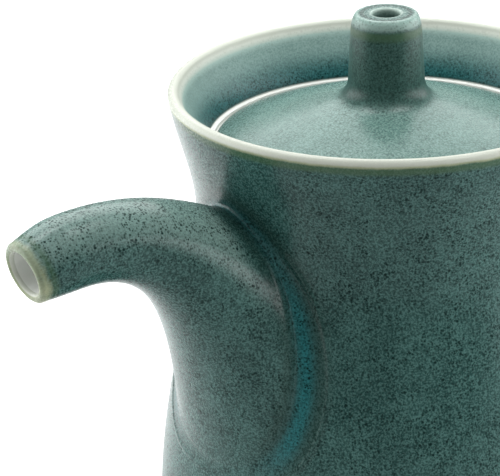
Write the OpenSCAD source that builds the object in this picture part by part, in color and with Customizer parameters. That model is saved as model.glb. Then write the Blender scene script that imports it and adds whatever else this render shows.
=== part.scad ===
// Lidded porcelain pourer: waisted pot, curved spout, recessed loose lid with a vented knob.
// Origin on the pot's axis at table level, +Z up, the spout points along +X.

/* [Pot] */
// Outer radius of the rim
rim_r = 35; // [33:0.5:37]
// Height of the rim above the table
rim_h = 84; // [80:1:88]
// Outer radius at the waist under the rim
waist_r = 30.9; // [30:0.1:32]
// Outer radius where the belly is widest
belly_r = 38.5; // [37:0.5:40]
// Thickness of the pot's wall
wall = 3.2; // [2.6:0.2:3.6]
// Thickness of the rounded lip
lip_t = 1.9; // [1.6:0.1:2.2]

/* [Foot] */
// Outer radius of the foot ring
foot_r = 31; // [29:0.5:32]
// Width of the foot ring
foot_w = 3.4; // [2.6:0.2:4]
// Height of the foot ring
foot_h = 2.4; // [2:0.2:3]

/* [Gallery] */
// Outer radius of the bare ring around the lid
ledge_r = 28.7; // [28.4:0.1:29.2]
// Radius of the step that the lid sits in
step_r = 27.95; // [27.9:0.05:28.1]
// Radius of the mouth inside the step
mouth_r = 24.3; // [24:0.1:24.6]
// Depth of the bare ring below the rim
ledge_depth = 8.95; // [8.5:0.05:9.5]

/* [Lid] */
// Outer radius of the lid
lid_r = 27.6; // [27.2:0.1:27.7]
// Rise of the dome above the bare ring
dome_rise = 6.2; // [5.8:0.1:6.6]
// Thickness of the lid
lid_t = 2.8; // [2.4:0.2:3.2]
// Radius of the air vent through knob and lid
vent_r = 2.2; // [1.8:0.1:2.4]

/* [Knob] */
// Radius of the knob's stem
knob_r = 6.1; // [5.6:0.1:6.6]
// Height of the knob above its seat on the lid
knob_h = 14.4; // [13.4:0.2:16]

/* [Spout] */
// Distance from the pot's axis to the spout's mouth
spout_reach = 69.1; // [66:0.2:72]
// Depth of the mouth's centre below the rim
spout_drop = 14; // [13:0.2:16]
// Outer radius of the spout at the mouth
tip_r = 5; // [4.8:0.1:5.4]
// Radius of the pouring channel at the mouth
channel_r = 3.4; // [3.2:0.1:3.6]
// Half width of the spout at its root
root_half_w = 16.8; // [15:0.2:17.4]

/* [Hidden] */
$fn = 96;

// Glaze and bare clay
glaze = [0.30, 0.41, 0.39];
glaze_dark = [0.25, 0.36, 0.34];
glaze_light = [0.50, 0.61, 0.58];
bare = [0.90, 0.89, 0.85];

// Heights up the pot
lip_r = lip_t / 2;
lip_z = rim_h - lip_r;
waist_z = rim_h - 22.8;
belly_z = 10;
base_z = foot_h;
foot_round = 0.8;
floor_t = 3.4;
floor_z = base_z + floor_t;
ledge_z = rim_h - ledge_depth;
step_depth = 0.5;
step_z = ledge_z - step_depth;
shelf_t = 2.8;
shelf_z = step_z - shelf_t;

// Lid
flange_gap = 0.6;
flange_t = 2.2;
flange_drop = 4;
flange_r = mouth_r - flange_gap;
flange_round = 0.7;
lid_edge_round = 0.2;
seat_z = ledge_z + dome_rise;
knob_flare = 3.2;
flare_h = 4;
knob_foot_r = knob_r + knob_flare;
knob_top_r = 4.65;
knob_neck_r = 5.65;
shoulder_h = 2.5;
vent_round = 0.4;

// Spout: a straight nozzle at the mouth, and behind it a sweep between two outlines in the XZ
// plane, the upper and the lower one, which start inside the pot
nozzle_l = 6;
nozzle_r = 5.9;
nozzle_lap = 1;
nozzle_lap_gap = 0.3;
droop = 13;
along = [cos(droop), -sin(droop)];
across = [sin(droop), cos(droop)];
nozzle = [spout_reach, rim_h - spout_drop] - nozzle_l * along;
upper_end = nozzle + nozzle_r * across;
lower_end = nozzle - nozzle_r * across;
bend_droop = 7;
arch = [cos(bend_droop), -sin(bend_droop)];
upper_pull = 13.6;
lower_pull = 12.6;
upper_root = [22, rim_h - 20];
lower_root = [36, rim_h - 67];
upper_rise = [38, rim_h - 8.5];
lower_rise = [38.2, rim_h - 25];
flare = 2.2;
ring_count = 16;
ring_sides = 24;
hole_r = 6;
hole_z = rim_h - 42;

// Point at t on the cubic curve a, b, c, d
function bezier(a, b, c, d, t) =
    pow(1 - t, 3) * a + 3 * pow(1 - t, 2) * t * b + 3 * (1 - t) * t * t * c + pow(t, 3) * d;

// Points along that curve, without its first one
function curve(a, b, c, d, n) = [for (i = [1:n]) bezier(a, b, c, d, i / n)];

// Quarter or longer arc about a centre
function arc(centre, r, from, to, n) =
    [for (i = [0:n]) centre + r * [cos(from + (to - from) * i / n), sin(from + (to - from) * i / n)]];

// Outer outline from the lip down to the foot, as [radius, height]
lip_edge = [rim_r, lip_z];
waist = [waist_r, waist_z];
belly = [belly_r, belly_z];
foot_edge = [foot_r, base_z];
neck_line = curve(lip_edge, lip_edge - [1.7, 9], waist + [0, 10], waist, 8);
belly_line = curve(waist, waist - [0, 9.5], belly + [0, 20], belly, 12);
heel_line = curve(belly, belly - [0, 5], foot_edge + [4, 0.4], foot_edge, 6);
outer_line = concat([lip_edge], neck_line, belly_line, heel_line);

// Inner wall, from the floor up to just under the ledge
inner_points = [for (p = concat(neck_line, belly_line)) if (p[1] < shelf_z - 7) p - [wall, 0]];
inner_line = [for (i = [len(inner_points) - 1:-1:0]) inner_points[i]];
floor_edge = [foot_r - 3, floor_z];
floor_line = curve(floor_edge, floor_edge + [4, 0.4], inner_line[0] - [0, 3], inner_line[0], 4);

module body_outline() {
    polygon(concat(
        arc([rim_r - lip_r, lip_z], lip_r, 180, 0, 10),
        neck_line, belly_line, heel_line,
        [[0, base_z], [0, floor_z], floor_edge],
        floor_line,
        [for (i = [1:len(inner_line) - 1]) inner_line[i]],
        [[mouth_r, shelf_z], [mouth_r, step_z], [step_r, step_z], [step_r, ledge_z], [ledge_r, ledge_z]],
        curve([ledge_r, ledge_z], [ledge_r + 0.8, ledge_z + 3], [rim_r - lip_t - 1.4, lip_z - 2.6],
              [rim_r - lip_t, lip_z], 6)
    ));
}

// The pot's outer shape as a solid, which the spout's root sits against
module outer_solid() {
    rotate_extrude() polygon(concat([[0, lip_z]], outer_line, [[0, base_z]]));
}

module body() {
    color(glaze) difference() {
        rotate_extrude() body_outline();
        translate([belly_r / 2, 0, hole_z]) rotate([0, 90, 0]) cylinder(r = hole_r, h = belly_r);
    }
}

module foot_ring() {
    round_r = foot_round;
    inner = foot_r - foot_w;
    color(bare) rotate_extrude() polygon(concat(
        [[inner, base_z]],
        arc([inner + round_r, round_r], round_r, 180, 270, 4),
        arc([foot_r - round_r, round_r], round_r, 270, 360, 4),
        [[foot_r, base_z]]
    ));
}

// Point on the spout's upper or lower outline at t, 0 at the root and 1 at the nozzle
function upper(t) = bezier(upper_root, upper_rise, upper_end - upper_pull * arch, upper_end, t);
function lower(t) = bezier(lower_root, lower_rise, lower_end - lower_pull * arch, lower_end, t);
function half_width(t) = nozzle_r + (root_half_w - nozzle_r) * pow(1 - t, flare);

// Oval ring between the two outlines at t, smaller all round by inset
function spout_ring(t, inset) =
    let (
        middle = (upper(t) + lower(t)) / 2,
        reach = (upper(t) - lower(t)) / 2,
        half = reach * (1 - inset / norm(reach)),
        w = half_width(t) - inset
    )
    [for (k = [0:ring_sides - 1])
        let (u = 360 * k / ring_sides, p = middle + half * sin(u)) [p[0], w * cos(u), p[1]]];

// Closed solid through the rings, with a flat cap at each end
module spout_sweep(inset) {
    n = ring_sides;
    points = [for (i = [0:ring_count]) each spout_ring(i / ring_count, inset)];
    sides = [for (i = [0:ring_count - 1], k = [0:n - 1]) let (a = i * n + k, b = i * n + (k + 1) % n)
        each [[a, a + n, b], [b, a + n, b + n]]];
    caps = [[for (k = [0:n - 1]) k], [for (k = [n - 1:-1:0]) ring_count * n + k]];
    polyhedron(points, concat(sides, caps));
}

module at_nozzle() {
    translate([nozzle[0], 0, nozzle[1]]) rotate([0, 90 + droop, 0]) children();
}

// Straight end of the spout with its rounded pouring lip
module nozzle_outer() {
    edge = (tip_r - channel_r) / 2;
    at_nozzle() rotate_extrude() polygon(concat(
        [[0, -nozzle_lap], [nozzle_r - nozzle_lap_gap, -nozzle_lap], [nozzle_r, 0.1]],
        arc([tip_r - edge, nozzle_l - edge], edge, 0, 180, 8),
        [[0, nozzle_l - edge]]
    ));
}

module spout() {
    color(glaze_dark) difference() {
        union() {
            spout_sweep(0);
            nozzle_outer();
        }
        spout_sweep(nozzle_r - channel_r);
        at_nozzle() translate([0, 0, -nozzle_lap]) cylinder(r = channel_r, h = 2 * nozzle_l);
        outer_solid();
    }
}

module lid() {
    edge = lid_edge_round;
    flat_r = flange_r - flange_t - 0.4;
    top_edge = [lid_r - edge, step_z + 2 * edge];
    seat_edge = [knob_foot_r, seat_z];
    color(glaze_light) rotate_extrude() polygon(concat(
        [[vent_r, seat_z - lid_t]],
        curve([vent_r, seat_z - lid_t], [9, seat_z - lid_t], [16, step_z + 2.2], [flat_r, step_z], 8),
        [[lid_r - edge, step_z], [lid_r, step_z + edge], top_edge],
        curve(top_edge, top_edge + [-5.9, 2.4], seat_edge + [5.5, -1.5], seat_edge, 10),
        [[vent_r, seat_z]]
    ));
}

module lid_flange() {
    inner = flange_r - flange_t;
    low_z = step_z - flange_drop;
    edge = flange_round;
    color(bare) rotate_extrude() polygon(concat(
        [[inner, step_z]],
        arc([inner + edge, low_z + edge], edge, 180, 270, 4),
        arc([flange_r - edge, low_z + edge], edge, 270, 360, 4),
        [[flange_r, step_z]]
    ));
}

module lid_knob() {
    top_z = seat_z + knob_h;
    neck_z = top_z - shoulder_h;
    color(glaze_light) rotate_extrude() polygon(concat(
        [[vent_r, seat_z], [knob_foot_r, seat_z]],
        curve([knob_foot_r, seat_z], [knob_foot_r - 1.8, seat_z + 0.5], [knob_r, seat_z + 1.6],
              [knob_r, seat_z + flare_h], 8),
        curve([knob_neck_r, neck_z], [knob_neck_r - 0.1, neck_z + 1.3], [knob_top_r + 0.5, top_z],
              [knob_top_r, top_z], 6),
        arc([vent_r + vent_round, top_z - vent_round], vent_round, 90, 180, 4)
    ));
}

body();
foot_ring();
spout();
lid();
lid_flange();
lid_knob();
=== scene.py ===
import math

import bmesh
import bpy
import numpy as np
from mathutils import Euler, Matrix, Vector


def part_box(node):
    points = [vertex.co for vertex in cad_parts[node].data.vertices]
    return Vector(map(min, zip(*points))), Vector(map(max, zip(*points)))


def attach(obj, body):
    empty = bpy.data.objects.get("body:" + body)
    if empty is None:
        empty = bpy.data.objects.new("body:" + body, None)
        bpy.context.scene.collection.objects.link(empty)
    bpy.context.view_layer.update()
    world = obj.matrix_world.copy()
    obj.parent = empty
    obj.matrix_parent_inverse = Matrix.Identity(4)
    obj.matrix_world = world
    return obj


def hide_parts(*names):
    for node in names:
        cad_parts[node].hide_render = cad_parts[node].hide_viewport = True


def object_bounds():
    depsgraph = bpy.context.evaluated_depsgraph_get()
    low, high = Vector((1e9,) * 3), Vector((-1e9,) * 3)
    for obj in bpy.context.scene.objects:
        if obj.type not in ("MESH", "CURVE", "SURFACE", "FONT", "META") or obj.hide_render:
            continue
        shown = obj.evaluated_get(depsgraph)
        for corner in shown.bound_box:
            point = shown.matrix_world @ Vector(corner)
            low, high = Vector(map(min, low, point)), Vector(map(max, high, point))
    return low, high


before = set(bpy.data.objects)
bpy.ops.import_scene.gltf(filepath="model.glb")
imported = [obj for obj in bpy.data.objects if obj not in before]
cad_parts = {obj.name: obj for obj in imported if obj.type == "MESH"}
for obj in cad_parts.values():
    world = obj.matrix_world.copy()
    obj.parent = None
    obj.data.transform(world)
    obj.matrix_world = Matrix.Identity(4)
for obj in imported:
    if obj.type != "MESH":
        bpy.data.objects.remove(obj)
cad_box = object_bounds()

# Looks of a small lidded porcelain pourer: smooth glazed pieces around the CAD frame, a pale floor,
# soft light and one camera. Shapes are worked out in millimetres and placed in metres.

MM = 0.001


def box_mm(node):
    """A CAD node's lowest and highest corners in millimetres."""
    low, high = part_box(node)
    return np.array(low) / MM, np.array(high) / MM


body_low, body_high = box_mm("body")
foot_high = box_mm("foot_ring")[1]
lid_low, lid_high = box_mm("lid")
flange_low, flange_high = box_mm("lid_flange")
knob_low, knob_high = box_mm("lid_knob")

# ---------------------------------------------------------------- dimensions, in millimetres

# Pot
RIM_R = 35
RIM_H = body_high[2]
WAIST_R = 30.9
WAIST_Z = RIM_H - 22.8
BELLY_R = body_high[1]
BELLY_Z = 10
WALL = 3.2
LIP_T = 1.9
LIP_R = LIP_T / 2
LIP_Z = RIM_H - LIP_R
LIP_TURN = 152       # degrees round the lip where the gallery's wall begins
BASE_Z = body_low[2]
FOOT_R = foot_high[1]
FOOT_W = 3.4
FOOT_ROUND = 0.8
FLOOR_Z = BASE_Z + 3.4
FLOOR_R = FOOT_R - 3         # flat part of the floor inside

# Gallery that holds the lid, the mouth below it and the pouring hole
LEDGE_R = 28.7
LEDGE_Z = RIM_H - 8.95
LEDGE_ROUND = 0.15
STEP_R = 27.95
STEP_Z = lid_low[2]
MOUTH_R = 24.3
SHELF_Z = STEP_Z - 2.8
SHOULDER_Z = SHELF_Z - 7     # where the inner wall begins to curve in to the mouth
HOLE_R = 6
HOLE_Z = RIM_H - 42

# Lid and its flange
LID_R = lid_high[1]
LID_T = 2.8
LID_CHAMFER = 0.2
FLANGE_R = flange_high[1]
FLANGE_T = 2.2
FLANGE_ROUND = 0.7
LID_FLAT_R = FLANGE_R - FLANGE_T - 0.4   # where the flat rim of the lid's underside begins

# Knob
SEAT_Z = knob_low[2]
KNOB_FOOT_R = knob_high[1]
KNOB_SINK = 0.6      # how far the knob's foot reaches into the lid, and its skirt out along it
SKIRT_DIP = 0.01     # the skirt's edge is this far under the lid's glaze
FOOT_LIFT = 0.02     # and the foot's edge is this far above it
VENT_R = 2.2
VENT_ROUND = 0.4
FLARE_H = 4
KNOB_R = 6.1
KNOB_NECK_R = 5.65
KNOB_TOP_R = 4.65
KNOB_TOP_Z = knob_high[2]
KNOB_NECK_Z = KNOB_TOP_Z - 2.5

# Spout: a straight nozzle that droops, and a bend between an upper and a lower line
TIP = np.array([69.1, RIM_H - 14])
TIP_R = 5
CHANNEL_R = 3.4
POUR_ROUND = (TIP_R - CHANNEL_R) / 2     # half of the pouring lip's thickness
NOZZLE_R = 5.9
NOZZLE_L = 6
NOZZLE_START = 0.6   # where the nozzle's side begins, out from the bend's end
DROOP = math.radians(13)
ALONG = np.array([math.cos(DROOP), -math.sin(DROOP)])
ACROSS = np.array([math.sin(DROOP), math.cos(DROOP)])
NOZZLE = TIP - NOZZLE_L * ALONG
ARCH_DROOP = math.radians(7)     # how far both lines droop as they reach the nozzle
ARCH = np.array([math.cos(ARCH_DROOP), -math.sin(ARCH_DROOP)])
UPPER_END = NOZZLE + NOZZLE_R * ACROSS
LOWER_END = NOZZLE - NOZZLE_R * ACROSS
UPPER_LINE = [[22, RIM_H - 20], [38, RIM_H - 8.5], UPPER_END - 13.6 * ARCH, UPPER_END]
LOWER_LINE = [[36, RIM_H - 67], [38.2, RIM_H - 25], LOWER_END - 12.6 * ARCH, LOWER_END]
ROOT_HALF_W = 16.8
FLARE = 2.2          # power by which the spout widens towards its root
SKIN_SINK = 1.2      # how deep in the pot's wall the spout's skin ends

# Fillet between spout and pot
LEG = 1.5            # its reach up the spout
LEG_GAIN = 2.0       # what that gains at the spout's sides
RUN = 1.5            # its reach out over the pot
RUN_GAIN = 2.4       # what that gains there
FULLNESS = 0.62      # 0 for a straight bevel, towards 1 for a corner
MARGIN = 1.1         # a thin margin beyond it, which dips under the pot's surface
MARGIN_DIP = 0.03

# Soft ridges along both edges of the fillet, and the heights between which they rise
RIDGE_H = 0.22
RIDGE_W = 0.45
RIDGE_RISE = (RIM_H - 62, RIM_H - 45)

# Fineness of the meshes
TURNS = 288          # quads around a turned piece
SPOUT_SIDES = 160    # quads around the spout
LIP_RINGS = 20       # quads round the pouring lip
NOZZLE_RINGS = 7     # quads along the nozzle, outside and inside
BEND_RINGS = 69      # quads along the spout's bend
CHANNEL_RINGS = 59   # quads along the bend of the channel
FILLET_RINGS = 32    # quads across the fillet
MARGIN_RINGS = 11    # quads across its margin
HOLE_SIDES = 96      # quads around the pouring hole
SOFTENING = 30       # smoothing passes over the bend
SEARCH = 801         # points along the spout in the search for its root
CLEAR = 0.1          # keeps the end of a stretch of outline or skin apart from the next one
MERGE = 0.001        # points closer than this become one
SHARP_ANGLE = math.radians(38)


# ---------------------------------------------------------------- curves and outlines

def bezier_at(points, t):
    """Point or points at t on a cubic curve with four control points."""
    a, b, c, d = (np.asarray(p, float) for p in points)
    t = np.asarray(t, float)[..., None]
    return (1 - t) ** 3 * a + 3 * (1 - t) ** 2 * t * b + 3 * (1 - t) * t * t * c + t ** 3 * d


def curve(a, b, c, d, count):
    """Points along a cubic curve from a to d, without its first one. b and c are its handles."""
    return bezier_at((a, b, c, d), np.arange(1, count + 1) / count)


def arc(centre, radius, start, end, count):
    """Points on an arc, from start to end in degrees."""
    angle = np.radians(np.linspace(start, end, count + 1))
    return np.asarray(centre, float) + radius * np.stack([np.cos(angle), np.sin(angle)], axis=1)


def line(a, b, count):
    """Points along a straight line, without its first one."""
    step = np.arange(1, count + 1)[:, None] / count
    return np.asarray(a, float) + step * (np.asarray(b, float) - np.asarray(a, float))


# The pot's outline in stretches, as [radius, height]
LIP_EDGE = np.array([RIM_R, LIP_Z])
WAIST = np.array([WAIST_R, WAIST_Z])
BELLY = np.array([BELLY_R, BELLY_Z])
FOOT_EDGE = np.array([FOOT_R, BASE_Z])
HEEL_HANDLE = np.array([4, 0.4])

neck_line = curve(LIP_EDGE, LIP_EDGE - [1.7, 9], WAIST + [0, 10], WAIST, 48)
belly_line = curve(WAIST, WAIST - [0, 9.5], BELLY + [0, 20], BELLY, 96)
heel_line = curve(BELLY, BELLY - [0, 5], FOOT_EDGE + HEEL_HANDLE, FOOT_EDGE, 32)
outer_line = np.vstack([[LIP_EDGE], neck_line, belly_line])[::-1]


def outer_radius(z):
    """Radius of the pot's outer surface at a height between the belly and the lip."""
    return np.interp(z, outer_line[:, 1], outer_line[:, 0])


def outer_slope(z):
    """Change of that radius per millimetre of height."""
    step = 0.2
    return (outer_radius(z + step) - outer_radius(z - step)) / (2 * step)


# ---------------------------------------------------------------- meshes

# Values on each point that the materials read, 0 where a piece gives none
MARKS = (
    "thin",      # glaze run thin over an edge, cream
    "fringe",    # the dark olive band beside that
    "pool",      # thick pooled glaze
    "pale",      # the gallery's paler, finer glaze
    "milk_and_highlight",      # milky glaze on soft edges, and painted highlights on the spout's top and the knob's shoulder
    "shade",     # painted shade: dark lines along edges and creases, and in hollows
    "bare",      # clay without glaze
)


def make_object(name, vertices, faces, marks):
    """An object from points in millimetres, with the marks on each point."""
    mesh = bpy.data.meshes.new(name)
    mesh.from_pydata([tuple(v) for v in np.asarray(vertices) * MM], [], faces)
    for mark in MARKS:
        values = marks.get(mark, np.zeros(len(vertices)))
        layer = mesh.attributes.new(mark, "FLOAT", "POINT")
        layer.data.foreach_set("value", np.asarray(values, np.float32))
    work = bmesh.new()
    work.from_mesh(mesh)
    bmesh.ops.remove_doubles(work, verts=work.verts, dist=MERGE * MM)
    bmesh.ops.recalc_face_normals(work, faces=work.faces)
    work.to_mesh(mesh)
    work.free()
    mesh.shade_smooth()
    mesh.set_sharp_from_angle(angle=SHARP_ANGLE)
    made = bpy.data.objects.new(name, mesh)
    bpy.context.scene.collection.objects.link(made)
    return made


def grid_faces(rings, sides):
    """Quads of a grid that closes on itself both ways."""
    faces = []
    for i in range(rings):
        for k in range(sides):
            a, b = i * sides, (i + 1) % rings * sides
            n = (k + 1) % sides
            faces.append((a + k, a + n, b + n, b + k))
    return faces


def smooth_step(x, low, high):
    """0 below low, 1 above high, and smooth between."""
    s = np.clip((np.asarray(x, float) - low) / (high - low), 0, 1)
    return s * s * (3 - 2 * s)


def fade(x, low, high):
    """1 below low, 0 above high, and smooth between."""
    return 1 - smooth_step(x, low, high)


def band(x, low, rise, fall, high):
    """1 between rise and fall, and smoothly down to 0 at low and high."""
    return smooth_step(x, low, rise) * fade(x, fall, high)


def radius_of(points):
    """Distance of points from the pot's axis."""
    return np.hypot(points[:, 0], points[:, 1])


def turn(name, sections, paint=None):
    """A turned piece. Its closed outline is a list of (points as [radius, height], bare or not).
    Paint gives the marks for a list of points."""
    outline = np.vstack([points for points, _ in sections])
    bare = np.concatenate([np.full(len(points), float(is_bare)) for points, is_bare in sections])
    angle = np.arange(TURNS) * 2 * math.pi / TURNS
    radius, height = outline[:, :1], outline[:, 1:]
    points = np.stack([radius * np.cos(angle), radius * np.sin(angle), height + 0 * angle], axis=2)
    points = points.reshape(-1, 3)
    marks = paint(points) if paint else {}
    marks["bare"] = np.repeat(bare, TURNS)
    return make_object(name, points, grid_faces(len(outline), TURNS), marks)


# ---------------------------------------------------------------- the spout's surface

spout_angles = np.arange(SPOUT_SIDES) * 2 * math.pi / SPOUT_SIDES


def unit(v):
    """Vectors at length 1."""
    return v / np.linalg.norm(v, axis=-1, keepdims=True)


def spout_point(t, angle, inset):
    """Point on the spout at t along it, 0 at the root and 1 at the nozzle, and at angle around it."""
    upper, lower = bezier_at(UPPER_LINE, t), bezier_at(LOWER_LINE, t)
    reach = (upper - lower) / 2
    size = np.linalg.norm(reach, axis=-1, keepdims=True)
    centre = (upper + lower) / 2 + reach * (1 - inset / size) * np.sin(angle)[..., None]
    width = NOZZLE_R + (ROOT_HALF_W - NOZZLE_R) * (1 - t) ** FLARE - inset
    return np.stack([centre[..., 0], width * np.cos(angle), centre[..., 1]], axis=-1)


def spout_tangent(t):
    """Direction along the spout, towards the nozzle, at one t for each angle."""
    small = 0.002
    return unit(spout_point(t + small, spout_angles, 0) - spout_point(t - small, spout_angles, 0))


def spout_outward(t):
    """The spout's outward normal at one t for each angle."""
    small = 0.01
    around = spout_point(t, spout_angles + small, 0) - spout_point(t, spout_angles - small, 0)
    normal = unit(np.cross(around, spout_tangent(t)))
    ring = spout_point(t, spout_angles, 0)
    return normal * np.sign(np.sum(normal * (ring - ring.mean(axis=0)), -1))[:, None]


def depth_outside(points):
    """How far points are outside the pot's outer surface, measured level."""
    return np.hypot(points[..., 0], points[..., 1]) - outer_radius(points[..., 2])


def start_at(depth, inset):
    """For each angle, the t at which the spout's surface is depth outside the pot."""
    t = np.linspace(0, 1, SEARCH)[:, None] + 0 * spout_angles
    outside = depth_outside(spout_point(t, spout_angles + 0 * t, inset)) - depth
    last = SEARCH - 1 - np.argmax(outside[::-1] < 0, axis=0)
    last = np.minimum(last, SEARCH - 2)
    k = np.arange(SPOUT_SIDES)
    a, b = outside[last, k], outside[last + 1, k]
    return (last + a / (a - b)) / (SEARCH - 1)


def pot_normal(points):
    """Outward normal of the pot's outer surface at points on it."""
    slope = outer_slope(points[..., 2])
    level = unit(points[..., :2])
    return unit(np.concatenate([level, -slope[..., None]], axis=-1))


def onto_pot(points, lift):
    """Points moved level onto the pot's outer surface, lift outside it."""
    level = unit(points[..., :2]) * (outer_radius(points[..., 2]) + lift)[..., None]
    return np.concatenate([level, points[..., 2:]], axis=-1)


def square_to(v, normal):
    """Directions of vectors without their share along a normal."""
    return unit(v - np.sum(v * normal, -1)[:, None] * normal)


# Where the spout's side meets the pot: a line of points, and the valley in which the glaze pools
root_t = start_at(0, 0)
root = spout_point(root_t, spout_angles, 0)


def t_above_root(distance):
    """For each angle, the t at which the spout's side is a given distance from the root."""
    searched = 0.6       # of the way to the nozzle
    steps = np.linspace(0, 1, SEARCH // 4)[:, None]
    t = root_t + (1 - root_t) * steps * searched
    path = spout_point(t, spout_angles + 0 * t, 0)
    step = np.linalg.norm(np.diff(path, axis=0), axis=2)
    length = np.concatenate([np.zeros((1, SPOUT_SIDES)), np.cumsum(step, axis=0)])
    return np.array([np.interp(distance[k], length[:, k], t[:, k]) for k in range(SPOUT_SIDES)])


def fillet_rings():
    """Rings that lead from the spout's side smoothly onto the pot, and then just under its surface.
    Also gives the t at which they start, for each angle."""
    side = np.cos(spout_angles) ** 2
    leg = LEG + LEG_GAIN * side
    run = RUN + RUN_GAIN * side
    top_t = t_above_root(leg)
    top = spout_point(top_t, spout_angles, 0)
    away = square_to(spout_outward(root_t), pot_normal(root))
    foot = onto_pot(root + run[:, None] * away, 0.0)
    back = square_to(root - foot, pot_normal(foot))
    controls = (top, top - FULLNESS * leg[:, None] * spout_tangent(top_t),
                foot + FULLNESS * run[:, None] * back, foot)
    rings = [bezier_at(controls, s) for s in np.linspace(0, 1, FILLET_RINGS + 1)]
    for out in np.linspace(CLEAR, MARGIN, MARGIN_RINGS):
        rings.append(onto_pot(foot + out * away, -MARGIN_DIP * out))
    rings.append(onto_pot(foot + SKIN_SINK * away, -SKIN_SINK))
    return top_t, rings


def raise_ridge(rings, at, height, width):
    """Rings with a soft ridge along the ring whose index is at. Height has one value for each angle."""
    ahead = np.gradient(rings, axis=0)
    around = np.roll(rings, -1, axis=1) - np.roll(rings, 1, axis=1)
    normal = unit(np.cross(around, ahead))
    step = np.linalg.norm(np.diff(rings, axis=0), axis=2)
    along = np.concatenate([np.zeros((1, rings.shape[1])), np.cumsum(step, axis=0)])
    near = np.exp(-((along - along[at]) / width) ** 2)
    outward = np.sign(np.sum(normal[at] * (rings[at] - rings[at].mean(axis=0)), axis=-1))
    return rings + near[..., None] * (height * outward)[:, None] * normal


def nozzle_ring(radius, out):
    """A round ring on the nozzle, out from where the nozzle begins."""
    ring = NOZZLE + out * ALONG + radius * np.sin(spout_angles)[:, None] * ACROSS
    return np.stack([ring[:, 0], radius * np.cos(spout_angles), ring[:, 1]], axis=1)


def lip_rings():
    """Rings over the rounded pouring lip, from the channel's mouth outwards, and back along the nozzle."""
    profile = np.vstack([
        arc([TIP_R - POUR_ROUND, NOZZLE_L - POUR_ROUND], POUR_ROUND, 180, 0, LIP_RINGS),
        line([TIP_R, NOZZLE_L - POUR_ROUND], [NOZZLE_R, NOZZLE_START], NOZZLE_RINGS)])
    return [nozzle_ring(radius, out) for radius, out in profile]


def channel_rings():
    """Rings along the channel, from inside the pot's wall to the lip."""
    inset = NOZZLE_R - CHANNEL_R
    start = start_at(-SKIN_SINK, inset)
    ahead = np.linspace(0, 1, CHANNEL_RINGS + 1)
    bend = [spout_point(start + s * (1 - start), spout_angles, inset) for s in ahead]
    straight = np.linspace(0, NOZZLE_L - POUR_ROUND - CLEAR / 2, NOZZLE_RINGS + 1)[1:]
    return bend + [nozzle_ring(CHANNEL_R, out) for out in straight]


def spout_rings():
    """The spout's closed skin as rings of points, and for each ring whether it is inside the channel."""
    top_t, fillet = fillet_rings()
    ahead = np.linspace(0, 1, BEND_RINGS + 1)[:-1]
    bend = [spout_point(1 + s * (top_t - 1), spout_angles, 0) for s in ahead]
    outer = np.array(lip_rings() + bend)
    # The nozzle runs into the bend without a corner, and the lip stays as it is
    kept = LIP_RINGS + 1
    for _ in range(SOFTENING):
        outer[kept:-1] = (outer[kept - 1:-2] + 2 * outer[kept:-1] + outer[kept + 1:]) / 4
    skin = np.concatenate([outer[kept:], np.array(fillet[:-1])])
    height = RIDGE_H * smooth_step(root[:, 2], *RIDGE_RISE)
    fillet_start = len(outer) - kept
    for at in (fillet_start, fillet_start + FILLET_RINGS):
        skin = raise_ridge(skin, at, height, RIDGE_W)
    hidden = fillet[-1:] + channel_rings()
    rings = np.array(list(outer[:kept]) + list(skin) + hidden)
    inside = np.zeros(len(rings))
    inside[-len(hidden):] = 1
    return rings, inside


def distance_to_valley(points):
    """Distance to the valley's line, and the height of the nearest point on it."""
    near = np.full(len(points), np.inf)
    at = np.zeros(len(points))
    for valley_point in root:
        distance = np.linalg.norm(points - valley_point, axis=1)
        closer = distance < near
        near = np.where(closer, distance, near)
        at = np.where(closer, valley_point[2], at)
    return near, at


# Distances from the valley, and heights along it, between which its glaze and its painted shade change
POOL_FADE = (0.5, 3.2)
VALLEY_SHADE_BAND = (0.6, 2.2, 2.6, 5.0)
POOL_START = (RIM_H - 56, RIM_H - 47)
POOL_WEAKER = (RIM_H - 30, RIM_H - 20)


def valley_marks(near, at):
    """Two values: 1 in the middle of the valley beside the spout, and 0.7 along its margins as painted
    shade.
    """
    low = smooth_step(at, *POOL_START)
    core = fade(near, *POOL_FADE) * low * (0.5 + 0.5 * fade(at, *POOL_WEAKER))
    return core, 0.7 * band(near, *VALLEY_SHADE_BAND) * low


# Distances back from the spout's tip, and outwards from the channel, between which its glaze changes
TIP_THIN = (0.9, 2.2)
TIP_FRINGE = (1.0, 1.8, 2.2, 3.4)
TIP_INNER_EDGE = (CHANNEL_R + 0.1, CHANNEL_R + 0.6)
TIP_ZONE = 3         # how far back from the tip the inner edge's glaze may lie
# The same for the painted highlight along the spout's top, by the sine of the angle round the spout
# and the distance from the valley, and for the painted shade in the channel, by the distance from the tip
SPOUT_TOP_HIGHLIGHT = (-0.2, 0.8)
SPOUT_HIGHLIGHT_CLEAR = (2.5, 7)
CHANNEL_SHADE = (0.5, 4)


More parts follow.
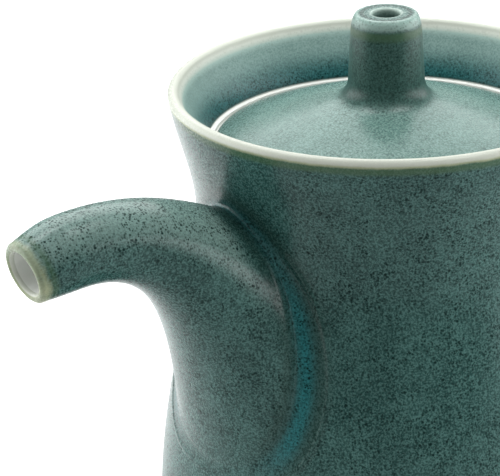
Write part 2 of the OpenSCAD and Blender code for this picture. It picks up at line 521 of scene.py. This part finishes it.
def spout_marks(points, rings, inside):
    """Marks on the spout. Inside its channel there is only bare clay, with painted shade further in."""
    from_tip = points[:, [0, 2]] - TIP
    back = -from_tip @ ALONG
    from_axis = np.hypot(from_tip @ ACROSS, points[:, 1])
    near, at = distance_to_valley(points)
    pool, margin = valley_marks(near, at)
    # Painted highlight along the spout's top, where it faces up, kept clear of the valley
    top_highlight = np.tile(smooth_step(np.sin(spout_angles), *SPOUT_TOP_HIGHLIGHT), rings)
    inner_edge = (back < TIP_ZONE) * fade(from_axis, *TIP_INNER_EDGE)
    marks = {
        "thin": np.maximum(inner_edge, 0.4 * fade(back, *TIP_THIN)),
        "fringe": 0.7 * band(back, *TIP_FRINGE),
        "pool": pool,
        "milk_and_highlight": 0.27 * top_highlight * smooth_step(near, *SPOUT_HIGHLIGHT_CLEAR)}
    for mark in marks:
        marks[mark] = np.where(inside, 0, marks[mark])
    depth = np.linalg.norm(from_tip, axis=1)
    # Painted shade inside the channel, deeper further in from the tip
    marks["shade"] = np.where(inside, 0.6 * smooth_step(depth, *CHANNEL_SHADE), margin)
    marks["bare"] = inside
    return marks


def make_spout():
    """The spout with its open channel, whose root ends inside the pot's wall."""
    rings, inside = spout_rings()
    points = rings.reshape(-1, 3)
    marks = spout_marks(points, len(rings), np.repeat(inside, SPOUT_SIDES) > 0)
    return make_object("spout_skin", points, grid_faces(len(rings), SPOUT_SIDES), marks)


# ---------------------------------------------------------------- turned pieces

def pot_sections():
    """The pot's closed outline: lip, outside, base, inside, mouth, and the gallery back to the lip."""
    lip = arc([RIM_R - LIP_R, LIP_Z], LIP_R, LIP_TURN, 0, 32)
    turned = math.radians(LIP_TURN)
    down_wall = np.array([-math.sin(turned), math.cos(turned)])
    shell = np.vstack([neck_line, belly_line])
    inside = [p - [WALL, 0] for p in shell if p[1] < SHOULDER_Z][::-1]
    floor_edge = np.array([FLOOR_R, FLOOR_Z])
    mouth_low, mouth_high = np.array([MOUTH_R, SHELF_Z]), [MOUTH_R, STEP_Z]
    round_start = LEDGE_Z - LEDGE_ROUND
    ledge = np.array([LEDGE_R, LEDGE_Z])
    return [
        (lip, False),
        (neck_line, False),
        (belly_line, False),
        (heel_line, False),
        (line(FOOT_EDGE, [0, BASE_Z], 12), True),
        (line([0, BASE_Z], [0, FLOOR_Z], 1), True),
        (line([0, FLOOR_Z], floor_edge, 12), True),
        (curve(floor_edge, floor_edge + HEEL_HANDLE, inside[0] - [0, 3], inside[0], 12), True),
        (np.array(inside[1:]), True),
        (curve(inside[-1], inside[-1] + [0, 3], mouth_low + [4, -2], mouth_low, 8), True),
        (line(mouth_low, mouth_high, 4), True),
        (line(mouth_high, [STEP_R, STEP_Z], 3), True),
        (line([STEP_R, STEP_Z], [STEP_R, round_start], 1), True),
        (arc([STEP_R + LEDGE_ROUND, round_start], LEDGE_ROUND, 180, 90, 3), True),
        (line([STEP_R + LEDGE_ROUND, LEDGE_Z], ledge, 3), True),
        (curve(ledge, ledge + [0.8, 3], lip[0] + 2.95 * down_wall, lip[0], 30)[:-1], False),
    ]


# Distances below the middle of the lip between which its glaze changes
RIM_THIN_OUTSIDE = (-0.6, 0.7)
RIM_THIN_INSIDE = (-0.9, 1.0)
RIM_FRINGE = (-0.3, 0.5, 0.8, 2.1)
RIM_MIST = (-0.3, 2.0)
# Heights in the gallery between which its glaze changes, and its painted shade at the foot of the wall
GALLERY_SHADE = (LEDGE_Z, LEDGE_Z + 0.9)
GALLERY_POOL = (LEDGE_Z + 0.5, LEDGE_Z + 6)
GALLERY_PALE = (LEDGE_Z, LEDGE_Z + 5)


def pot_marks(points):
    """Marks on the lip, in the gallery inside it and along the valley round the spout."""
    radius, height = radius_of(points), points[:, 2]
    below = LIP_Z - height
    outside = radius > np.minimum(outer_radius(height) - LIP_R, RIM_R - LIP_R)
    gallery = np.where(outside | (height < STEP_Z), 0, 1)
    pool, margin = valley_marks(*distance_to_valley(points))
    return {
        "thin": np.where(outside, fade(below, *RIM_THIN_OUTSIDE), fade(below, *RIM_THIN_INSIDE)),
        "fringe": np.where(outside, band(below, *RIM_FRINGE), 0),
        "milk_and_highlight": gallery * fade(below, *RIM_MIST),
        # Painted shade at the foot of the gallery's wall and along the valley's margins
        "shade": np.maximum(gallery * fade(height, *GALLERY_SHADE), margin),
        "pool": np.maximum(0.8 * gallery * fade(height, *GALLERY_POOL), pool),
        "pale": gallery * smooth_step(height, *GALLERY_PALE)}


def make_pot():
    """The pot's shell, with the pouring hole cut through its wall behind the spout."""
    pot = turn("pot_shell", pot_sections(), pot_marks)
    bpy.ops.mesh.primitive_cylinder_add(vertices=HOLE_SIDES, radius=HOLE_R * MM, depth=BELLY_R * MM)
    cutter = bpy.context.object
    cutter.rotation_euler = (0, math.pi / 2, 0)
    cutter.location = Vector((BELLY_R, 0, HOLE_Z)) * MM
    cut = pot.modifiers.new("pouring_hole", "BOOLEAN")
    cut.operation = "DIFFERENCE"
    cut.object = cutter
    bpy.context.view_layer.objects.active = pot
    bpy.ops.object.modifier_apply(modifier=cut.name)
    bpy.data.objects.remove(cutter)
    return pot


def ring_sections(outer, inner, low, high, edge, count):
    """A bare ring's outline, with both lower edges rounded and count points up each side."""
    rounded = low + edge
    return [
        (line([outer, high], [inner, high], 2), True),
        (line([inner, high], [inner, rounded + CLEAR], count), True),
        (arc([inner + edge, rounded], edge, 180, 270, 8), True),
        (arc([outer - edge, rounded], edge, 270, 360, 8), True),
        (line([outer, rounded + CLEAR], [outer, high - CLEAR], count), True),
    ]


def make_foot():
    """The ring that the pot stands on."""
    return turn("foot_ring_clay", ring_sections(FOOT_R, FOOT_R - FOOT_W, 0, BASE_Z, FOOT_ROUND, 2))


def make_flange():
    """The ring under the lid that keeps it centred in the mouth."""
    sections = ring_sections(FLANGE_R, FLANGE_R - FLANGE_T, flange_low[2], STEP_Z, FLANGE_ROUND, 3)
    return turn("lid_flange_clay", sections)


# The lid's dome, which runs in under the knob's foot at the slope of its last handle
LID_EDGE = np.array([LID_R - 0.25, STEP_Z + 0.45])
SEAT_EDGE = np.array([KNOB_FOOT_R, SEAT_Z])
SEAT_HANDLE = np.array([5.5, -1.5])
SEAT_SLOPE = -SEAT_HANDLE[1] / SEAT_HANDLE[0]
SEAT_RISE = 0.6 * SEAT_SLOPE     # from there to the vent, under the knob
dome_line = curve(LID_EDGE, LID_EDGE + [-5.9, 2.4], SEAT_EDGE + SEAT_HANDLE, SEAT_EDGE, 48)

# Radii between which the lid's glaze changes, and its painted edge shadow
LID_SHADE = (LID_R - 0.7, LID_R - 0.1)
LID_POOL = (LID_R - 8, LID_R)


def lid_marks(points):
    """Thicker glaze towards the lid's edge, and a painted shadow along the edge itself."""
    radius = radius_of(points)
    return {"shade": 0.8 * smooth_step(radius, *LID_SHADE), "pool": 0.25 * smooth_step(radius, *LID_POOL)}


def make_lid():
    """The domed lid, with the vent through its middle."""
    vent_low = np.array([VENT_R, SEAT_Z - LID_T])
    vent_high = np.array([VENT_R, SEAT_Z + SEAT_RISE])
    flat_end, corner = [LID_R - LID_CHAMFER, STEP_Z], [LID_R, STEP_Z + LID_CHAMFER]
    return turn("lid_dome", [
        (line(vent_high, vent_low, 6), True),
        (curve(vent_low, [9, vent_low[1]], [16, STEP_Z + 2.2], [LID_FLAT_R, STEP_Z], 32), True),
        (line([LID_FLAT_R, STEP_Z], flat_end, 6), True),
        (line(flat_end, corner, 2), True),
        (line(corner, LID_EDGE, 3), False),
        (dome_line, False),
        (curve(SEAT_EDGE, SEAT_EDGE - [2, 0], vent_high + [2, 0], vent_high, 8)[:-1], False),
    ], lid_marks)


# Radii on the knob, and distances below its top, between which its glaze, its painted shoulder highlight
# and the painted shade in its vent change
KNOB_SHOULDER = (KNOB_TOP_R - 0.5, KNOB_TOP_R)
KNOB_SHOULDER_DOWN = (0.9, 2.1)
VENT_EDGE = (VENT_R + 0.4, VENT_R + 0.8)
VENT_EDGE_DOWN = (0.4, 1.5)
VENT_DOWN = (0.7, 2.2)
KNOB_DARK_RING = (KNOB_TOP_R - 1.4, KNOB_TOP_R - 0.9, KNOB_TOP_R - 0.6, KNOB_TOP_R - 0.2)
KNOB_FRINGE_DOWN = (1.3, 2.1, 2.4, 4.0)
KNOB_POOL = (KNOB_R + 0.4, KNOB_FOOT_R - 0.6)
# Where the knob's side, its top and its vent begin
KNOB_SIDE_R = KNOB_TOP_R - 0.2
KNOB_FLAT_R = VENT_R + 0.3
KNOB_FLAT_DOWN = 0.6
KNOB_VENT_R = VENT_R + 0.1


def knob_marks(points):
    """A milky vent edge, a milky shoulder that is partly a painted highlight, dark rings on the top,
    painted shade down the vent, and thick glaze round the foot.
    """
    radius, down = radius_of(points), KNOB_TOP_Z - points[:, 2]
    on_side = radius > KNOB_SIDE_R
    on_top = (down < KNOB_FLAT_DOWN) * (radius > KNOB_FLAT_R)
    # Painted shade down inside the vent
    in_vent = (radius < KNOB_VENT_R) * smooth_step(down, *VENT_DOWN)
    # The shoulder's milky band is partly a painted highlight
    shoulder = smooth_step(radius, *KNOB_SHOULDER) * fade(down, *KNOB_SHOULDER_DOWN)
    vent_edge = fade(radius, *VENT_EDGE) * fade(down, *VENT_EDGE_DOWN)
    dark_ring = on_top * band(radius, *KNOB_DARK_RING)
    return {
        "milk_and_highlight": np.maximum(0.42 * shoulder, 0.6 * vent_edge),
        "fringe": 0.9 * band(down, *KNOB_FRINGE_DOWN) * on_side,
        "shade": np.maximum(0.3 * on_top * (1 - shoulder), np.maximum(0.95 * dark_ring, in_vent)),
        "pool": np.where(on_top, 0, 0.95 * fade(radius, *KNOB_POOL) * on_side)}


def make_knob():
    """The tubular knob, whose foot is let into the lid."""
    sole_z = SEAT_Z - KNOB_SINK
    skirt = [KNOB_FOOT_R + KNOB_SINK, SEAT_Z - KNOB_SINK * SEAT_SLOPE - SKIRT_DIP]
    foot = [KNOB_FOOT_R, SEAT_Z + FOOT_LIFT]
    flare_top = [KNOB_R, SEAT_Z + FLARE_H]
    neck, top = np.array([KNOB_NECK_R, KNOB_NECK_Z]), np.array([KNOB_TOP_R, KNOB_TOP_Z])
    round_z = KNOB_TOP_Z - VENT_ROUND
    return turn("lid_knob_stem", [
        (line([VENT_R + CLEAR / 2, sole_z], [KNOB_FOOT_R, sole_z], 4), True),
        (line([KNOB_FOOT_R, sole_z], skirt, 2), False),
        (line(skirt, foot, 3), False),
        (curve(foot, [KNOB_FOOT_R - 1.8, SEAT_Z + 0.5], [KNOB_R, SEAT_Z + 1.6], flare_top, 32), False),
        (line(flare_top, neck, 24), False),
        (curve(neck, neck + [-0.1, 1.3], top + [0.5, 0], top, 20), False),
        (line(top, [VENT_R + VENT_ROUND, KNOB_TOP_Z], 8), False),
        (arc([VENT_R + VENT_ROUND, round_z], VENT_ROUND, 90, 180, 10)[1:], False),
        (line([VENT_R, round_z], [VENT_R, sole_z + CLEAR / 2], 12), False),
    ], knob_marks)


# ---------------------------------------------------------------- materials

def srgb(red, green, blue):
    """A colour given as 0 to 255, as shader values."""
    def linear(v):
        v /= 255
        return v / 12.92 if v <= 0.04045 else ((v + 0.055) / 1.055) ** 2.4
    return (linear(red), linear(green), linear(blue), 1)


# Colours of the glaze, each as dark and light, on the pot, on the lid and in the gallery
POT_GROUND = (srgb(22, 55, 52), srgb(66, 103, 98))
POT_POOLED = (srgb(8, 74, 76), srgb(22, 104, 108))
LID_GROUND = (srgb(78, 109, 102), srgb(109, 139, 132))
LID_POOLED = (srgb(20, 50, 45), srgb(44, 80, 73))
GALLERY_GROUND = (srgb(104, 132, 127), srgb(126, 153, 147))
# What lies over it
SPECK_COLOUR = srgb(10, 32, 30)
# Painted shade
SHADE_COLOUR = srgb(30, 54, 48)
# Milky glaze, and the painted highlights on the spout's top and the knob's shoulder
MILK_HIGHLIGHT_GREEN = srgb(144, 168, 160)
MILK_HIGHLIGHT_WHITE = srgb(194, 199, 190)
FRINGE_COLOUR = srgb(58, 86, 62)
OLIVE = srgb(138, 146, 116)
CREAM = srgb(178, 183, 172)
CHANNEL_CLAY = srgb(212, 215, 210)
# Bare clay and the floor
CLAY = (srgb(214, 214, 204), srgb(228, 229, 221))
CLAY_GRIT = srgb(176, 170, 156)
FLOOR_COLOUR = srgb(216, 216, 216)

GLAZE_IOR = 1.31
MIDDLE = (0.36, 0.64)        # the part of a noise's range that most of it lies in


class Shader:
    """One material and short ways to add its nodes."""

    def __init__(self, name):
        self.material = bpy.data.materials.new(name)
        self.material.use_nodes = True
        self.tree = self.material.node_tree
        self.surface = self.tree.nodes["Principled BSDF"]
        self.place = self.add("TexCoord").outputs["Object"]

    def add(self, kind, inputs=None, **settings):
        """A node with its settings and inputs."""
        made = self.tree.nodes.new("ShaderNode" + kind)
        for key, value in settings.items():
            setattr(made, key, value)
        for key, value in (inputs or {}).items():
            self.put(made.inputs[key], value)
        return made

    def put(self, socket, value):
        """Links a value from another node into a socket, or sets a plain one."""
        if isinstance(value, bpy.types.NodeSocket):
            self.tree.links.new(value, socket)
        else:
            socket.default_value = value

    def finish(self, inputs):
        """Puts values into the surface's own sockets."""
        for key, value in inputs.items():
            self.put(self.surface.inputs[key], value)

    def mark(self, name):
        return self.add("Attribute", attribute_name=name).outputs["Fac"]

    def noise(self, per_mm, detail=2.0, roughness=0.5):
        inputs = {"Vector": self.place, "Scale": per_mm / MM, "Detail": detail, "Roughness": roughness}
        return self.add("TexNoise", inputs).outputs["Fac"]

    def math(self, operation, a, b):
        return self.add("Math", {0: a, 1: b}, operation=operation).outputs[0]

    def times(self, a, b):
        return self.math("MULTIPLY", a, b)

    def plus(self, a, b):
        return self.math("ADD", a, b)

    def minus(self, a, b):
        return self.math("SUBTRACT", a, b)

    def larger(self, a, b):
        return self.math("MAXIMUM", a, b)

    def remap(self, value, low, high, to_low=0.0, to_high=1.0):
        """A value from low to high, turned smoothly into one from to_low to to_high."""
        inputs = {"Value": value, "From Min": low, "From Max": high, "To Min": to_low, "To Max": to_high}
        return self.add("MapRange", inputs, interpolation_type="SMOOTHSTEP").outputs[0]

    def mix(self, factor, a, b):
        return self.add("Mix", {0: factor, 6: a, 7: b}, data_type="RGBA").outputs[2]

    def specks(self, per_mm, largest):
        """Round specks of random size, as a value from 0 to 1. Sizes are in shares of a cell."""
        cells = self.add("TexVoronoi", {"Vector": self.place, "Scale": per_mm / MM, "Randomness": 1.0})
        pick = self.add("SeparateColor", {"Color": cells.outputs["Color"]}).outputs[0]
        size = self.remap(pick, 0, 1, to_high=largest)
        core = self.times(size, 0.45)
        return self.remap(cells.outputs["Distance"], size, core)

    def bump(self, height, strength, depth):
        """A normal from a height pattern, with its depth in millimetres."""
        inputs = {"Height": height, "Strength": strength, "Distance": depth * MM}
        return self.add("Bump", inputs).outputs[0]


def glaze(name, ground, pool, speck_amount):
    """Semi-gloss speckled glaze: cream where thin, dark green beside that, deeper where it pools."""
    s = Shader(name)
    thin, pale, milk_and_highlight, pooled, bare = (s.mark(m) for m in ("thin", "pale", "milk_and_highlight", "pool", "bare"))

    # Cloudy, grainy ground
    cloud = s.remap(s.noise(per_mm=0.16, detail=3.0, roughness=0.55), *MIDDLE)
    grain = s.remap(s.noise(per_mm=3.2, detail=2.0, roughness=0.6), *MIDDLE)
    tone = s.plus(s.times(cloud, 0.25), s.times(grain, 0.75))
    colour = s.mix(s.times(pale, 0.9), s.mix(tone, *ground), s.mix(tone, *GALLERY_GROUND))
    colour = s.mix(s.times(pooled, 0.9), colour, s.mix(grain, *pool))

    # Fine and coarse specks in loose patches, few where the glaze is thin, pale or milky, and under the
    # painted highlights
    fine = s.larger(s.specks(per_mm=2.5, largest=0.66), s.specks(per_mm=1.9, largest=0.5))
    coarse = s.specks(per_mm=1.3, largest=0.42)
    patch = s.remap(s.noise(per_mm=0.35), 0.35, 0.6, to_low=0.55)
    specked = s.times(s.larger(s.times(fine, 0.85), coarse), patch)
    clear = s.larger(pale, s.larger(s.remap(milk_and_highlight, 0.3, 0.7), thin))
    specked = s.times(specked, s.minus(1.0, s.times(clear, 0.85)))
    specked = s.times(specked, speck_amount)

    # Milky edges and painted highlights, specks, and painted shade in dark lines and hollows
    colour = s.mix(s.remap(milk_and_highlight, 0.0, 0.6, to_high=0.9), colour, MILK_HIGHLIGHT_GREEN)
    colour = s.mix(s.remap(milk_and_highlight, 0.45, 1.0), colour, MILK_HIGHLIGHT_WHITE)
    colour = s.mix(specked, colour, SPECK_COLOUR)
    colour = s.mix(s.times(s.mark("shade"), 0.8), colour, SHADE_COLOUR)

    # Thin edges, with an uneven border
    ragged = s.times(s.minus(s.noise(per_mm=0.5, detail=3.0), 0.5), 0.3)
    fringe = s.plus(s.mark("fringe"), ragged)
    colour = s.mix(s.remap(fringe, 0.15, 1.0, to_high=0.85), colour, FRINGE_COLOUR)
    thin = s.plus(thin, ragged)
    colour = s.mix(s.times(s.remap(thin, 0.12, 0.5), s.minus(1.0, milk_and_highlight)), colour, OLIVE)
    colour = s.mix(s.remap(thin, 0.4, 0.85), colour, CREAM)
    colour = s.mix(bare, colour, CHANNEL_CLAY)

    # Specks are duller than the glaze, and the clay and the gallery are rougher
    gloss = s.minus(0.5, s.times(specked, 0.42))
    soft = s.larger(s.times(pale, 0.2), s.times(pooled, 0.1))
    rough = s.plus(s.larger(s.times(bare, 0.3), soft), s.remap(grain, 0, 1, 0.22, 0.3))
    skin = s.plus(s.times(s.noise(per_mm=0.7), 0.7), s.times(s.noise(per_mm=2.6), 0.3))
    s.finish({"Base Color": colour, "IOR": GLAZE_IOR, "Specular IOR Level": gloss, "Roughness": rough,
              "Normal": s.bump(skin, strength=0.35, depth=0.06)})
    return s.material


def bare_clay(name):
    """Fine unglazed porcelain with a little grit."""
    s = Shader(name)
    grain = s.noise(per_mm=3.0, detail=3.0)
    colour = s.mix(s.remap(s.noise(per_mm=0.3, detail=3.0), 0.35, 0.65), *CLAY)
    colour = s.mix(s.remap(grain, 0.66, 0.72), colour, CLAY_GRIT)
    s.finish({"Base Color": colour, "Roughness": 0.62, "Normal": s.bump(grain, strength=0.4, depth=0.05)})
    return s.material


def floor_finish(name):
    """Matt, pale and even."""
    s = Shader(name)
    s.finish({"Base Color": FLOOR_COLOUR, "Roughness": 0.9, "Specular IOR Level": 0.0})
    return s.material


# ---------------------------------------------------------------- camera, floor and light

CAMERA_TARGET = Vector((22.9, -6.6, 61.2)) * MM
CAMERA_DISTANCE = 400 * MM
CAMERA_AZIMUTH = math.radians(143.8)
CAMERA_ELEVATION = math.radians(22.85)
CAMERA_ROLL = math.radians(-1.49)
CAMERA_LENS = 180.1
CAMERA_SENSOR = 36
CAMERA_NEAREST = 10 * MM
FLOOR_SIZE = 4000 * MM
WORLD_STRENGTH = 0.36


def make_camera():
    """The camera, at its distance from the target along its own back direction."""
    data = bpy.data.cameras.new("camera")
    data.lens = CAMERA_LENS
    data.sensor_width = CAMERA_SENSOR
    data.clip_start = CAMERA_NEAREST
    camera = bpy.data.objects.new("camera", data)
    turned = Euler((math.pi / 2 - CAMERA_ELEVATION, 0, CAMERA_AZIMUTH)).to_matrix()
    turned = turned @ Matrix.Rotation(CAMERA_ROLL, 3, "Z")
    place = CAMERA_TARGET + turned @ Vector((0, 0, CAMERA_DISTANCE))
    camera.matrix_world = Matrix.Translation(place) @ turned.to_4x4()
    bpy.context.scene.collection.objects.link(camera)
    bpy.context.scene.camera = camera


def make_floor():
    """A wide floor at the height that the pot stands on."""
    bpy.ops.mesh.primitive_plane_add(size=FLOOR_SIZE, location=(0, 0, cad_box[0][2]))
    floor = bpy.context.object
    floor.name = "floor"
    floor.data.materials.append(floor_finish("floor_white"))


def make_world():
    """Even white light from all round, and colours shown as they are."""
    world = bpy.data.worlds.new("studio")
    bpy.context.scene.world = world
    world.use_nodes = True
    background = world.node_tree.nodes["Background"]
    background.inputs["Color"].default_value = (1, 1, 1, 1)
    background.inputs["Strength"].default_value = WORLD_STRENGTH
    bpy.context.scene.view_settings.view_transform = "Standard"


def softbox(name, bearing, height, distance, width, tall, power, spread, onto_floor=False):
    """A soft rectangular light. Bearing is in degrees from the camera, leftwards, height is above the
    middle of the pot, and spread is in degrees. It faces the pot, or straight down onto the floor."""
    data = bpy.data.lights.new(name, "AREA")
    data.shape = "RECTANGLE"
    data.size = width * MM
    data.size_y = tall * MM
    data.energy = power
    data.spread = math.radians(spread)
    lamp = bpy.data.objects.new(name, data)
    angle = CAMERA_AZIMUTH - math.pi / 2 - math.radians(bearing)
    centre = Vector((0, 0, RIM_H / 2)) * MM
    offset = Vector((math.cos(angle), math.sin(angle), 0)) * distance * MM
    lamp.location = centre + offset + Vector((0, 0, height * MM))
    aim = centre + offset if onto_floor else centre
    lamp.rotation_euler = (lamp.location - aim).to_track_quat("Z", "Y").to_euler()
    bpy.context.scene.collection.objects.link(lamp)


def make_lights():
    """Lights on the pot from above, both sides and the front, and on the floor that its walls mirror."""
    softbox("overhead", bearing=180, height=450, distance=490, width=900, tall=440, power=2.0, spread=120)
    softbox("floor_behind", bearing=180, height=420, distance=330, width=700, tall=300, power=0.9,
            spread=80, onto_floor=True)
    softbox("floor_left", bearing=115, height=380, distance=270, width=320, tall=320, power=0.55,
            spread=70, onto_floor=True)
    softbox("floor_right", bearing=-85, height=380, distance=240, width=320, tall=320, power=0.6,
            spread=70, onto_floor=True)
    softbox("left", bearing=100, height=80, distance=320, width=400, tall=240, power=0.65, spread=130)
    softbox("right", bearing=-92, height=70, distance=330, width=460, tall=220, power=0.85, spread=130)
    softbox("front", bearing=0, height=640, distance=210, width=900, tall=500, power=0.5, spread=140)


# ---------------------------------------------------------------- assembly

def finish_piece(piece, material, body, node):
    """Gives a piece its material and says where it belongs in the frame."""
    piece.data.materials.clear()
    piece.data.materials.append(material)
    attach(piece, body)
    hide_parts(node)


make_camera()
make_floor()
make_world()
make_lights()

pot_glaze = glaze("pot_glaze_look", POT_GROUND, POT_POOLED, speck_amount=1.0)
lid_glaze = glaze("lid_glaze_look", LID_GROUND, LID_POOLED, speck_amount=0.5)
clay = bare_clay("bare_clay_look")

finish_piece(make_pot(), pot_glaze, "pot", "body")
finish_piece(make_spout(), pot_glaze, "pot", "spout")
finish_piece(make_foot(), clay, "pot", "foot_ring")
finish_piece(make_lid(), lid_glaze, "lid", "lid")
finish_piece(make_knob(), lid_glaze, "lid", "lid_knob")
finish_piece(make_flange(), clay, "lid", "lid_flange")
